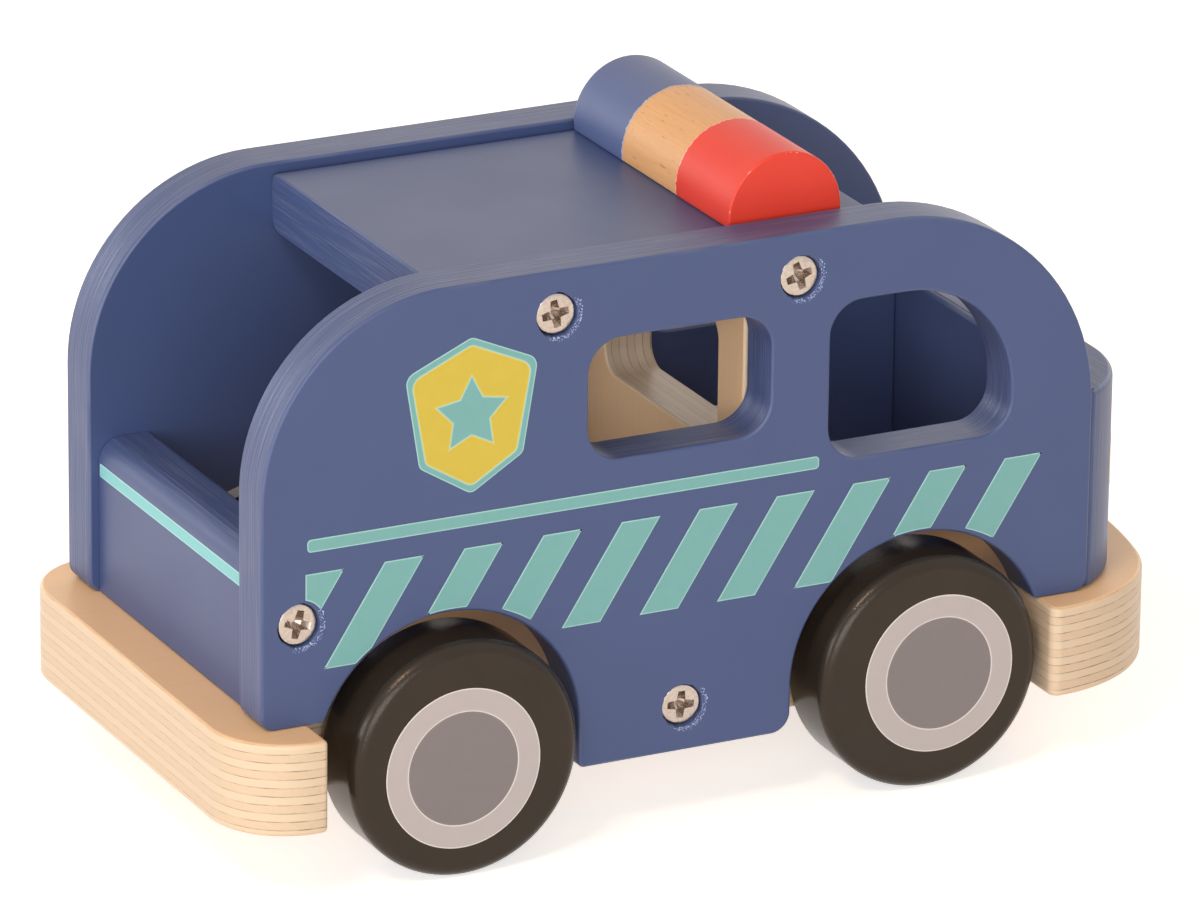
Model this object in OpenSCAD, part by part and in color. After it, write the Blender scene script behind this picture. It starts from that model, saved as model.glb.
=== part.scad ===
// Wooden toy bus: plywood boards screwed round a base board, on two turning axles.
// +X points forward, +Y to the bus's left and +Z up. The origin is on the ground under the middle.

/* [Overall] */
// Length over both bumpers
overall_l = 180; // [170:1:195]
// Inside width between the side panels
cabin_w = 60; // [50:1:70]

/* [Base board] */
// Thickness of the base board
base_t = 16; // [12:0.5:20]
// Height of the middle of the base board above the axles
axle_drop = 0.2; // [0:0.1:2]
// Width of the rear bumper
rear_bumper_w = 92.8; // [84:0.2:110]
// Corner radius of the rear bumper in plan
rear_bumper_r = 13.5; // [4:0.5:14]
// Gap between the rear tyres and the rear bumper
rear_tyre_gap = 4.8; // [2:0.1:8]
// Width of the front bumper
front_bumper_w = 89.2; // [84:0.2:110]
// Corner radius of the front bumper in plan
front_bumper_r = 26; // [12:0.5:30]
// Radius of the shallow bow across the nose of the front bumper
front_bow_r = 100; // [80:1:300]
// Gap between the front tyres and the front bumper
front_tyre_gap = 2; // [2:0.5:6]

/* [Side panels] */
// Thickness of a side panel
panel_t = 9; // [6:0.5:12]
// Length of a side panel
panel_l = 152.5; // [146:0.5:160]
// Height of a side panel above the base board
body_h = 71.4; // [64:0.2:84]
// Distance from the back of the rear bumper to the side panels
rear_step = 6.7; // [3:0.1:9]
// Radius of the rear top corner
rear_top_r = 33; // [15:0.5:36]
// Radius of the front top corner
front_top_r = 38; // [20:0.5:40]
// Gap between a tyre and its wheel arch
arch_gap = 3.2; // [2:0.1:6]
// Distance of the wheel arches behind their wheels
arch_back = 0.4; // [0:0.1:1.5]
// Radius of the skirt's rear lower corner
skirt_rear_r = 1; // [0.5:0.1:6]
// Radius of the skirt's front lower corner
skirt_front_r = 3.5; // [0.5:0.1:6]
// Radius of the lower corners over the bumpers
foot_r = 2.5; // [0.5:0.1:4]

/* [Side windows] */
// Distance from the top of a side panel down to its windows
window_drop = 13.1; // [12.5:0.1:18]
// Distance from the rear edge of a side panel to the pillar between its windows
pillar_back = 91.8; // [80:0.1:98]
// Width of the pillar between the windows
pillar_w = 10.9; // [8:0.1:15]
// Length of the rear side window
rear_window_l = 33.4; // [24:0.1:44]
// Height of the rear side window
rear_window_h = 20.9; // [14:0.1:26]
// Width of the post in front of the front side window
front_post_w = 15.6; // [12:0.1:20]
// Height of the front side window
front_window_h = 27.6; // [25:0.1:33]
// Corner radius of the side windows
window_r = 6; // [2:0.1:6.5]
// Radius of the front window's upper front corner
windscreen_r = 20; // [8:0.1:20]

/* [Roof and light bar] */
// Depth of the roof below the tops of the side panels
roof_step = 1.5; // [0:0.1:4]
// Thickness of the roof board
roof_t = 10.3; // [8:0.1:11]
// Length of the roof board
roof_l = 81.5; // [70:0.5:92]
// Length of roof ahead of the partition
roof_lead = 14.7; // [13:0.1:22]
// Radius of the light bar
light_bar_r = 10.4; // [8:0.1:13]
// Height of the light bar's round centre above the roof
light_bar_rise = 1.7; // [0:0.1:3]
// Distance from the roof's front edge to the middle of the light bar
light_bar_back = 16; // [14:0.1:24]
// Gap between each end of the light bar and the side panel
light_bar_gap = 1; // [0:0.1:3]

/* [Tailgate] */
// Thickness of the tailgate
tailgate_t = 10; // [8:0.1:12]
// Height of the tailgate above the base board
tailgate_h = 27.4; // [24:0.1:32]
// Depth of the tailgate inside the rear edges of the side panels
tailgate_inset = 1.7; // [0:0.1:4]
// Radius of the tailgate's rear top edge
tailgate_r = 4; // [1:0.1:6]

/* [Partition] */
// Thickness of the partition
partition_t = 9; // [7:0.1:12]
// Length of partition that shows behind the pillar
partition_lap = 0.5; // [0:0.1:2]
// Width of the hole in the partition
hatch_w = 41.2; // [30:0.1:44]
// Height of the hole in the partition
hatch_h = 22.4; // [16:0.1:25]
// Height of the hole's lower edge above the base board
hatch_rise = 29.2; // [27:0.1:32]
// Corner radius of the hole in the partition
hatch_r = 4; // [2:0.1:7]

/* [Front board] */
// Thickness of the front board
front_board_t = 12.4; // [10:0.1:14]
// Height of the front board above the base board
front_board_h = 35; // [28:0.1:40]
// Radius of the front board's rounded ends in plan
front_board_r = 24; // [15:0.1:30]
// Distance of the front board's ends inside the side panels' outer faces
front_board_inset = 0.5; // [0:0.1:2]

/* [Wheels and axles] */
// Distance between the axles
wheelbase = 86.7; // [80:0.1:90]
// Distance from the back of the rear bumper to the rear axle
rear_overhang = 40.6; // [38:0.1:45]
// Diameter of a wheel
wheel_d = 41; // [34:0.5:44]
// Width of a wheel
wheel_w = 13; // [11:0.1:16]
// Rounding of a wheel's outer edge
wheel_outer_r = 2.4; // [1:0.1:5]
// Rounding of a wheel's inner edge
wheel_inner_r = 1; // [0.5:0.1:4]
// Side play between a front wheel and the base board
front_end_float = 0.6; // [0.4:0.1:3]
// Side play between a rear wheel and the base board
rear_end_float = 2.4; // [0.4:0.1:3]
// Diameter of an axle
axle_d = 6; // [5:0.1:8]
// Depth of an axle in a wheel
axle_seat = 9; // [6:0.1:9.5]
// Gap round an axle in the base board
axle_clear = 0.05; // [0.02:0.01:0.1]

/* [Screws] */
// Diameter of a screw's shank
screw_d = 3.5; // [3:0.1:4]
// Diameter of a screw's head
screw_head_d = 7; // [6:0.1:8]
// Height of the straight rim of a screw's head
screw_rim = 0.4; // [0.2:0.1:0.8]
// Length of a screw's point
screw_point = 4; // [2:0.1:6]
// Depth of a screw's head below the wood
screw_sink = 0.6; // [0.2:0.1:1]
// Gap round a screw's shank and under its head
screw_clear = 0.05; // [0.02:0.01:0.1]
// Gap round the rim of a screw's head
screw_rim_clear = 0.3; // [0.1:0.1:0.6]
// Length of the cross slot in a screw's head
cross_l = 4.2; // [3:0.1:5]
// Width of the cross slot
cross_w = 1; // [0.6:0.1:1.4]
// Depth of the cross slot
cross_depth = 1.2; // [0.6:0.1:1.6]
// Length of the screws in the side panels
side_screw_l = 25; // [18:0.5:28]
// Length of the screws under the base board
floor_screw_l = 32; // [26:0.5:40]
// Length of the screws under the roof
bar_screw_l = 15; // [13:0.5:18]
// Distance of the rear roof screws from the rear of the roof
roof_screw_rear_in = 19; // [12:0.1:24]
// Distance of the front roof screws from the front of the roof
roof_screw_front_in = 18.1; // [12:0.1:24]
// Distance of the roof screws below the middle of the roof board
roof_screw_drop = 0.9; // [0:0.1:1.5]
// Height of the tailgate screws above the base board
tailgate_screw_rise = 17.6; // [12:0.1:20]
// Distance of the chassis screws behind the middle of the wheelbase
chassis_screw_back = 1; // [-6:0.1:6]
// Distance between the two screws under the partition
partition_screw_gap = 40; // [20:0.5:44]
// Distance between the two screws under the front board
front_screw_gap = 40; // [20:0.5:50]
// Distance between the two screws under the light bar
bar_screw_gap = 10; // [8:0.5:12]

/* [Hidden] */
$fn = 128;

blue_paint = "#5A6590";
bare_plywood = "#E8C8A0";
bare_beech = "#E0AC6C";
black_paint = "#3C3530";
nickel = "#C8C0B8";

// Extra length that carries a cut past the face it starts from
overcut = 1;
right = -1;
left = 1;

rear_end = -overall_l / 2;
front_end = overall_l / 2;
wheel_r = wheel_d / 2;
axle_r = axle_d / 2;
axle_z = wheel_r;
rear_axle_x = rear_end + rear_overhang;
front_axle_x = rear_axle_x + wheelbase;
rear_wheel_in = cabin_w / 2 + rear_end_float;
front_wheel_in = cabin_w / 2 + front_end_float;

base_z = axle_z + axle_drop - base_t / 2;
floor_z = base_z + base_t;
rear_bumper_in = rear_axle_x - wheel_r - rear_tyre_gap;
front_bumper_in = front_axle_x + wheel_r + front_tyre_gap;
bow_x = front_end - front_bow_r;
front_corner_y = front_bumper_w / 2 - front_bumper_r;
front_corner_x = bow_x + sqrt(pow(front_bow_r - front_bumper_r, 2) - pow(front_corner_y, 2));
front_corner_angle = atan2(front_corner_y, front_corner_x - bow_x);

panel_rear = rear_end + rear_step;
panel_front = panel_rear + panel_l;
panel_top = floor_z + body_h;
panel_out = cabin_w / 2 + panel_t;
arch_r = wheel_r + arch_gap;
rear_arch_x = rear_axle_x - arch_back;
front_arch_x = front_axle_x - arch_back;
skirt_rear = rear_arch_x + arch_r;
skirt_front = front_arch_x - arch_r;
pillar_rear = panel_rear + pillar_back;
pillar_front = pillar_rear + pillar_w;
window_top = panel_top - window_drop;
front_window_l = panel_front - front_post_w - pillar_front;

partition_rear = pillar_rear - partition_lap;
partition_front = partition_rear + partition_t;
roof_z = panel_top - roof_step;
roof_under = roof_z - roof_t;
roof_front = partition_front + roof_lead;
roof_rear = roof_front - roof_l;
light_bar_x = roof_front - light_bar_back;
light_bar_l = cabin_w - 2 * light_bar_gap;
tailgate_rear = panel_rear + tailgate_inset;
front_board_y = panel_out - front_board_inset;
front_round_y = front_board_y - sqrt(pow(front_board_r, 2) - pow(front_board_r - front_board_t, 2));
front_face = panel_front + front_board_t;

side_screw_y = panel_out - screw_sink;
floor_screw_z = base_z + screw_sink;
bar_screw_z = roof_under + screw_sink;
roof_screw_z = roof_z - roof_t / 2 - roof_screw_drop;
roof_screw_places = [[roof_rear + roof_screw_rear_in, roof_screw_z], [roof_front - roof_screw_front_in, roof_screw_z]];
tailgate_screw_places = [[tailgate_rear + tailgate_t / 2, floor_z + tailgate_screw_rise]];
chassis_screw_places = [[(rear_axle_x + front_axle_x) / 2 - chassis_screw_back, base_z + base_t / 2]];
partition_screw_x = partition_rear + partition_t / 2;
front_screw_x = panel_front + front_board_t / 2;

// Waste outside a rounded corner that stands at the origin
module corner_waste(r) {
    difference() {
        translate([-overcut, -overcut])
            square(r + overcut);
        translate([r, r])
            circle(r);
    }
}

// Plate from the origin with its own radius at each corner, in the order of a turn to the left
module rounded_plate(l, h, radii) {
    corners = [[0, 0], [l, 0], [l, h], [0, h]];
    difference() {
        square([l, h]);
        for (i = [0:3])
            if (radii[i] > 0)
                translate(corners[i])
                    rotate(90 * i)
                        corner_waste(radii[i]);
    }
}

// Upright board drawn in X and Z, from y to y + t
module board_along(y, t) {
    translate([0, y + t, 0])
        rotate([90, 0, 0])
            linear_extrude(t)
                children();
}

// Upright board drawn in Y and Z, from x to x + t
module board_across(x, t) {
    translate([x, 0, 0])
        rotate([90, 0, 90])
            linear_extrude(t)
                children();
}

// Screw with the top of its head at the origin, pointing up
module wood_screw(l) {
    head_r = screw_head_d / 2;
    shank_r = screw_d / 2;
    color(nickel)
        difference() {
            rotate_extrude()
                polygon([
                    [0, 0], [head_r, 0], [head_r, screw_rim], [shank_r, screw_rim + head_r - shank_r],
                    [shank_r, l - screw_point], [0, l]
                ]);
            for (turn = [0, 90])
                rotate(turn)
                    translate([-cross_l / 2, -cross_w / 2, -overcut])
                        cube([cross_l, cross_w, overcut + cross_depth]);
        }
}

// Hole that takes the screw, open to the wood's face
module screw_hole(l) {
    head_r = screw_head_d / 2;
    shank_r = screw_d / 2;
    neck = screw_rim + head_r - shank_r;
    rotate_extrude()
        polygon([
            [0, -screw_sink - overcut], [head_r + screw_rim_clear, -screw_sink - overcut],
            [head_r + screw_rim_clear, screw_rim + screw_clear], [head_r, screw_rim + screw_clear],
            [shank_r + screw_clear, neck + screw_clear], [shank_r + screw_clear, l], [0, l]
        ]);
}

// Copies a screw or its hole to places in X and Z, driven in from both sides
module from_sides(places) {
    for (side = [right, left], place = places)
        translate([place[0], side * side_screw_y, place[1]])
            rotate([side * 90, 0, 0])
                children();
}

// Copies a screw or its hole to a pair of places, driven up from below
module from_below(x, z, gap) {
    for (side = [right, left])
        translate([x, side * gap / 2, z])
            children();
}

module axle_cylinder(x, r, l) {
    translate([x, 0, axle_z])
        rotate([90, 0, 0])
            cylinder(r = r, h = l, center = true);
}

module front_bumper_plan() {
    reach = 2 * front_bow_r;
    intersection() {
        translate([bow_x, 0])
            circle(front_bow_r);
        translate([front_bumper_in, -front_bumper_w / 2])
            square([reach, front_bumper_w]);
        union() {
            translate([front_corner_x - reach, -front_bumper_w / 2])
                square([reach, front_bumper_w]);
            for (side = [right, left])
                translate([front_corner_x, side * front_corner_y])
                    circle(front_bumper_r);
            translate([bow_x, 0])
                polygon([
                    [0, 0],
                    [reach * cos(front_corner_angle), -reach * sin(front_corner_angle)],
                    [reach * cos(front_corner_angle), reach * sin(front_corner_angle)]
                ]);
        }
    }
}

module base_plan() {
    translate([rear_end, -rear_bumper_w / 2])
        rounded_plate(rear_bumper_in - rear_end, rear_bumper_w, [rear_bumper_r, 0, 0, rear_bumper_r]);
    translate([rear_bumper_in - overcut, -cabin_w / 2])
        square([front_bumper_in - rear_bumper_in + 2 * overcut, cabin_w]);
    front_bumper_plan();
}

module base_board() {
    color(bare_plywood)
        difference() {
            translate([0, 0, base_z])
                linear_extrude(base_t)
                    base_plan();
            for (x = [rear_axle_x, front_axle_x])
                axle_cylinder(x, axle_r + axle_clear, rear_bumper_w);
            from_sides(chassis_screw_places)
                screw_hole(side_screw_l);
            from_below(partition_screw_x, floor_screw_z, partition_screw_gap)
                screw_hole(floor_screw_l);
            from_below(front_screw_x, floor_screw_z, front_screw_gap)
                screw_hole(floor_screw_l);
        }
}

module panel_outline() {
    difference() {
        union() {
            translate([panel_rear, floor_z])
                rounded_plate(panel_l, body_h, [foot_r, foot_r, front_top_r, rear_top_r]);
            translate([rear_axle_x, axle_z])
                square([wheelbase, floor_z - axle_z + overcut]);
            translate([skirt_rear, base_z])
                rounded_plate(skirt_front - skirt_rear, floor_z - base_z, [skirt_rear_r, skirt_front_r, 0, 0]);
        }
        for (x = [rear_arch_x, front_arch_x])
            translate([x, axle_z])
                circle(arch_r);
        translate([pillar_rear - rear_window_l, window_top - rear_window_h])
            rounded_plate(rear_window_l, rear_window_h, [window_r, window_r, window_r, window_r]);
        translate([pillar_front, window_top - front_window_h])
            rounded_plate(front_window_l, front_window_h, [window_r, window_r, windscreen_r, window_r]);
    }
}

module side_panel(y) {
    color(blue_paint)
        difference() {
            board_along(y, panel_t)
                panel_outline();
            from_sides(concat(roof_screw_places, tailgate_screw_places, chassis_screw_places))
                screw_hole(side_screw_l);
        }
}

module right_side_panel() {
    side_panel(-panel_out);
}

module left_side_panel() {
    side_panel(cabin_w / 2);
}

module roof_board() {
    color(blue_paint)
        difference() {
            translate([roof_rear, -cabin_w / 2, roof_under])
                cube([roof_l, cabin_w, roof_t]);
            from_sides(roof_screw_places)
                screw_hole(side_screw_l);
            from_below(light_bar_x, bar_screw_z, bar_screw_gap)
                screw_hole(bar_screw_l);
        }
}

module light_bar() {
    color(bare_beech)
        difference() {
            board_along(-light_bar_l / 2, light_bar_l)
                translate([light_bar_x, roof_z + light_bar_rise])
                    intersection() {
                        circle(light_bar_r);
                        translate([-light_bar_r - overcut, -light_bar_rise])
                            square(2 * (light_bar_r + overcut));
                    }
            from_below(light_bar_x, bar_screw_z, bar_screw_gap)
                screw_hole(bar_screw_l);
        }
}

module tailgate() {
    color(blue_paint)
        difference() {
            board_along(-cabin_w / 2, cabin_w)
                translate([tailgate_rear, floor_z])
                    rounded_plate(tailgate_t, tailgate_h, [0, 0, 0, tailgate_r]);
            from_sides(tailgate_screw_places)
                screw_hole(side_screw_l);
        }
}

module partition() {
    color(bare_plywood)
        difference() {
            board_across(partition_rear, partition_t)
                difference() {
                    translate([-cabin_w / 2, floor_z])
                        square([cabin_w, roof_under - floor_z]);
                    translate([-hatch_w / 2, floor_z + hatch_rise])
                        rounded_plate(hatch_w, hatch_h, [hatch_r, hatch_r, hatch_r, hatch_r]);
                }
            from_below(partition_screw_x, floor_screw_z, partition_screw_gap)
                screw_hole(floor_screw_l);
        }
}

module front_board_plan() {
    intersection() {
        translate([panel_front, -front_board_y])
            square([front_board_t, 2 * front_board_y]);
        union() {
            translate([panel_front, -front_round_y])
                square([front_board_t, 2 * front_round_y]);
            for (side = [right, left])
                translate([front_face - front_board_r, side * front_round_y])
                    circle(front_board_r);
        }
    }
}

module front_board() {
    color(blue_paint)
        difference() {
            translate([0, 0, floor_z])
                linear_extrude(front_board_h)
                    front_board_plan();
            from_below(front_screw_x, floor_screw_z, front_screw_gap)
                screw_hole(floor_screw_l);
        }
}

module axle(x, wheel_in) {
    color(bare_beech)
        axle_cylinder(x, axle_r, 2 * (wheel_in + axle_seat));
}

module front_axle() {
    axle(front_axle_x, front_wheel_in);
}

module rear_axle() {
    axle(rear_axle_x, rear_wheel_in);
}

module wheel(x, side, wheel_in) {
    color(black_paint)
        translate([x, side * wheel_in, axle_z])
            rotate([-side * 90, 0, 0])
                rotate_extrude()
                    difference() {
                        rounded_plate(wheel_r, wheel_w, [0, wheel_inner_r, wheel_outer_r, 0]);
                        translate([-overcut, -overcut])
                            square([axle_r + overcut, axle_seat + overcut]);
                    }
}

module front_right_wheel() {
    wheel(front_axle_x, right, front_wheel_in);
}

module front_left_wheel() {
    wheel(front_axle_x, left, front_wheel_in);
}

module rear_right_wheel() {
    wheel(rear_axle_x, right, rear_wheel_in);
}

module rear_left_wheel() {
    wheel(rear_axle_x, left, rear_wheel_in);
}

module roof_screws() {
    from_sides(roof_screw_places)
        wood_screw(side_screw_l);
}

module tailgate_screws() {
    from_sides(tailgate_screw_places)
        wood_screw(side_screw_l);
}

module chassis_screws() {
    from_sides(chassis_screw_places)
        wood_screw(side_screw_l);
}

module partition_screws() {
    from_below(partition_screw_x, floor_screw_z, partition_screw_gap)
        wood_screw(floor_screw_l);
}

module front_board_screws() {
    from_below(front_screw_x, floor_screw_z, front_screw_gap)
        wood_screw(floor_screw_l);
}

module light_bar_screws() {
    from_below(light_bar_x, bar_screw_z, bar_screw_gap)
        wood_screw(bar_screw_l);
}

base_board();
right_side_panel();
left_side_panel();
roof_board();
light_bar();
tailgate();
partition();
front_board();
front_axle();
rear_axle();
front_right_wheel();
front_left_wheel();
rear_right_wheel();
rear_left_wheel();
roof_screws();
tailgate_screws();
chassis_screws();
partition_screws();
front_board_screws();
light_bar_screws();
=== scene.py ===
import math
import random
from functools import partial

import bmesh
import bpy
from mathutils import Matrix, Vector


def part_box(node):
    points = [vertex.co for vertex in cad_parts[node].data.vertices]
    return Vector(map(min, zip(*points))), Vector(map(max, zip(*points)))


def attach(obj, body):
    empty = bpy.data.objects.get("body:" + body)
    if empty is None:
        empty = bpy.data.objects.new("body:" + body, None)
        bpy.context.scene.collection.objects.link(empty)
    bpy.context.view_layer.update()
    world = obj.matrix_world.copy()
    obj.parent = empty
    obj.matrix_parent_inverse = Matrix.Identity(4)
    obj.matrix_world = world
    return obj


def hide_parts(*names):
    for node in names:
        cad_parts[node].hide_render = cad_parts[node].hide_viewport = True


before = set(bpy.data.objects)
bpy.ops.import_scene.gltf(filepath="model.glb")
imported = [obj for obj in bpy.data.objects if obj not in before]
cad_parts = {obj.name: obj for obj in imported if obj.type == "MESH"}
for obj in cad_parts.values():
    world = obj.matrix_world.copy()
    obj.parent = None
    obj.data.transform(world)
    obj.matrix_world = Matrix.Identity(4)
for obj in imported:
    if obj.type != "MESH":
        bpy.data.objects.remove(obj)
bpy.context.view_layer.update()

mm = 0.001
print("frame loaded, pieces:", len(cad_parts))


def boxOf(node):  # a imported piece's lowest and highest corner, in millimetres
    low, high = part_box(node)
    return low / mm, high / mm


baseLow, baseHigh = boxOf("base_board")
panelLow, panelHigh = boxOf("right_side_panel")
roofLow, roofHigh = boxOf("roof_board")
barLow, barHigh = boxOf("light_bar")
gateLow, gateHigh = boxOf("tailgate")
wallLow, wallHigh = boxOf("partition")
noseLow, noseHigh = boxOf("front_board")
floorZ = baseHigh.z  # the cabin floor, which the boards stand on
cabinHalf = roofHigh.y  # half the width between the side panels
panelOut = -panelLow.y  # how far out the side panels' outer faces are


def intoScene(name, data):
    made = bpy.data.objects.new(name, data)
    bpy.context.scene.collection.objects.link(made)
    return made


# Camera, as the photograph has it

viewLook = dict(heading=26.79, elevation=20.3626, roll=0.67, lens=278.95, sensor=36, clip=(0.05, 20),
                place=(-661.4, -1303.8, 592.0))


def addCamera(look):
    lens = bpy.data.cameras.new("photo camera")
    lens.lens = look["lens"]
    lens.sensor_width = look["sensor"]
    lens.clip_start, lens.clip_end = look["clip"]
    camera = intoScene("photo camera", lens)
    turn = Matrix.Rotation(-math.radians(look["heading"]), 4, "Z")
    tilt = Matrix.Rotation(math.radians(90 - look["elevation"]), 4, "X")
    roll = Matrix.Rotation(math.radians(look["roll"]), 4, "Z")
    camera.matrix_world = Matrix.Translation(Vector(look["place"]) * mm) @ turn @ tilt @ roll
    bpy.context.scene.camera = camera


addCamera(viewLook)
print("camera placed")


# Colours and nodes

def linear(colour):  # sRGB hex to the linear values that sockets hold
    parts = [int(colour[i:i + 2], 16) / 255 for i in (1, 3, 5)]
    return [c / 12.92 if c <= 0.04045 else ((c + 0.055) / 1.055) ** 2.4 for c in parts] + [1.0]


def feed(node, inputs):  # an input takes a value, a socket, or the first live output of a node
    for name, source in inputs.items():
        if isinstance(source, bpy.types.Node):
            source = next(out for out in source.outputs if out.enabled)
        if isinstance(source, bpy.types.NodeSocket):
            node.id_data.links.new(source, node.inputs[name])
        else:
            node.inputs[name].default_value = source


def addNode(tree, kind, inputs=None, **settings):  # a kind in short is one of the shader's
    made = tree.nodes.new(kind if "Node" in kind else "ShaderNode" + kind)
    for name, value in settings.items():
        setattr(made, name, value)
    feed(made, inputs or {})
    return made


mixFactor, mixFirst, mixSecond = 0, 6, 7  # sockets of a Mix node that mixes colours

# Each board's mesh carries "grain", its own place in millimetres: along the grain, across it and through
# the plies. "rim" is 1 on sawn edges, "butt" where those cross the grain, and "arris" on rounded corners.


def startFinish(name, values, *marks):  # a material, what adds its nodes, its shader, and its mesh's marks
    finish = bpy.data.materials.new(name)
    finish.use_nodes = True
    add = partial(addNode, finish.node_tree)
    shader = finish.node_tree.nodes["Principled BSDF"]
    feed(shader, values)
    sockets = []
    for mark in marks:
        found = add("Attribute", attribute_name=mark)
        sockets.append(found.outputs["Vector" if mark == "grain" else "Fac"])
    return finish, add, shader, *sockets


def endFinish(add, shader, look, base, coats, height, gloss=None, invert=False):
    colour = linear(base)
    for share, over in coats:  # each coat shows by its share over the ones before
        over = linear(over) if isinstance(over, str) else over
        colour = add("Mix", {mixFactor: share, mixFirst: colour, mixSecond: over}, data_type="RGBA")
    bump = add("Bump", {"Strength": look["bump"], "Distance": look["relief"] * mm, "Height": height},
               invert=invert)
    feed(shader, {"Base Color": colour, "Normal": bump})
    if gloss:
        feed(shader, {"Roughness": add("MapRange", {"Value": gloss, **look["sheen"]})})


def streaks(add, grain, size, detail):  # noise drawn out to a size in mm: along, across and through
    drawn = add("VectorMath", {0: grain, 1: [1 / reach for reach in size]}, operation="MULTIPLY")
    return add("TexNoise", {"Vector": drawn, "Scale": 1.0, "Detail": detail})


# Materials: sizes in millimetres, and the ranges by which a pattern becomes a share or a sheen

# worn is the paler blue of the rounded corners: partly rubbed paint, partly a painted highlight along the
# edges
bluePaintLook = dict(
    colour="#425484", patchy="#3E4F7D", worn="#8A93AE", thin="#747EA0",
    sheen={"To Min": 0.35, "To Max": 0.47}, streak=(16, 0.45, 0.45), rimStreak=(15, 15, 0.32), patch=22,
    peel=0.5, ply=1.5, waver=0.35, glueLine={"From Max": 0.35, "To Min": 1.0, "To Max": 0.0},
    bare={"From Min": 0.47, "From Max": 0.72, "To Max": 0.45},
    rub={"From Min": 0.45, "From Max": 0.75, "To Max": 0.4},
    brushRidge=2.5, grainRidge=0.5, peelRidge=0.12, bump=0.35, relief=0.06)


def satinBluePaint(look):
    # Satin water paint on sanded birch ply: even blue with a soft sheen, in pale streaks on the sawn edges;
    # the rounded corners go paler in patches, partly rubbed paint and partly a painted highlight along the
    # edges
    finish, add, shader, grain, rim, arris = startFinish("satin blue paint on birch ply", {"IOR": 1.5},
                                                         "grain", "rim", "arris")
    veneer = streaks(add, grain, look["streak"], 3.0)
    brushed = streaks(add, grain, look["rimStreak"], 3.0)
    patches = add("TexNoise", {"Vector": grain, "Scale": 1 / look["patch"], "Detail": 2.0})
    peel = add("TexNoise", {"Vector": grain, "Scale": 1 / look["peel"], "Detail": 1.0})
    bare = add("MapRange", {"Value": brushed, **look["bare"]})
    thinned = add("Math", {0: bare, 1: rim}, operation="MULTIPLY")
    depth = add("SeparateXYZ", {0: grain}).outputs["Z"]
    waved = add("Math", {0: veneer, 1: look["waver"], 2: depth}, operation="MULTIPLY_ADD")
    plies = add("Math", {0: waved, 1: look["ply"]}, operation="PINGPONG")
    glue = add("MapRange", {"Value": plies, **look["glueLine"]}, interpolation_type="SMOOTHSTEP")
    height = add("Math", {0: glue, 1: rim}, operation="MULTIPLY")
    # paler rounded corners in patches: partly rubbed paint, partly a painted highlight along the edges
    rubbed = add("MapRange", {"Value": patches, **look["rub"]})
    wear = add("Math", {0: rubbed, 1: arris}, operation="MULTIPLY")
    for part, ridge in ((thinned, "brushRidge"), (veneer, "grainRidge"), (peel, "peelRidge")):
        height = add("Math", {0: part, 1: look[ridge], 2: height}, operation="MULTIPLY_ADD")
    coats = (patches, look["patchy"]), (thinned, look["thin"]), (wear, look["worn"])
    endFinish(add, shader, look, look["colour"], coats, height, patches)
    return finish


barePlyLook = dict(
    face="#F6D2A9", faceDark="#EDC597", longGrain="#DBC8B0", endGrain="#D2B99D", glue="#75604C", rough=0.38,
    streak=(20, 0.5, 0.5), cloud=14, pore=0.35, ply=1.46, waver=0.5, tear=(3, 3, 0.8),
    line={"From Min": 0.02, "From Max": 0.09, "To Min": 1.0, "To Max": 0.0},
    broken={"From Min": 0.40, "From Max": 0.62, "To Min": 0.25, "To Max": 0.9},
    buttLine={"To Min": 1.0, "To Max": 0.45}, grainRidge=0.4, bump=0.4, relief=0.06)


def clearBirchPly(look):
    # Birch ply under a thin clear lacquer: pale straight-grained faces, sawn edges banded by plies and glue
    finish, add, shader, grain, rim, butt = startFinish(
        "clear lacquered birch ply", {"Roughness": look["rough"], "IOR": 1.5}, "grain", "rim", "butt")
    veneer = streaks(add, grain, look["streak"], 4.0)
    gaps = streaks(add, grain, look["tear"], 3.0)
    clouds = add("TexNoise", {"Vector": grain, "Scale": 1 / look["cloud"], "Detail": 2.0})
    pores = add("TexNoise", {"Vector": grain, "Scale": 1 / look["pore"], "Detail": 2.0})
    depth = add("SeparateXYZ", {0: grain}).outputs["Z"]
    waved = add("Math", {0: clouds, 1: look["waver"], 2: depth}, operation="MULTIPLY_ADD")
    layer = add("Math", {0: waved, 1: look["ply"]}, operation="DIVIDE")
    near = add("Math", {0: layer, 1: 0.5}, operation="PINGPONG")
    line = add("MapRange", {"Value": near, **look["line"]}, interpolation_type="SMOOTHSTEP")
    broken = add("MapRange", {"Value": gaps, **look["broken"]})
    fainter = add("MapRange", {"Value": butt, **look["buttLine"]})
    unevenLine = add("Math", {0: line, 1: broken}, operation="MULTIPLY")
    glueLine = add("Math", {0: unevenLine, 1: fainter}, operation="MULTIPLY")
    whole = add("Math", {0: layer}, operation="FLOOR")
    odd = add("Math", {0: whole, 1: 2.0}, operation="MODULO")
    speckle = add("Math", {0: odd, 1: pores}, operation="MULTIPLY")
    longGrain, endGrain, glue = [linear(look[name]) for name in ("longGrain", "endGrain", "glue")]
    bands = add("Mix", {mixFactor: speckle, mixFirst: longGrain, mixSecond: endGrain}, data_type="RGBA")
    sawn = add("Mix", {mixFactor: glueLine, mixFirst: bands, mixSecond: glue}, data_type="RGBA")
    groove = add("Math", {0: glueLine, 1: rim}, operation="MULTIPLY")
    height = add("Math", {0: veneer, 1: look["grainRidge"], 2: groove}, operation="MULTIPLY_ADD")
    coats = (veneer, look["faceDark"]), (rim, sawn)
    endFinish(add, shader, look, look["face"], coats, height, invert=True)
    return finish


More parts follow.
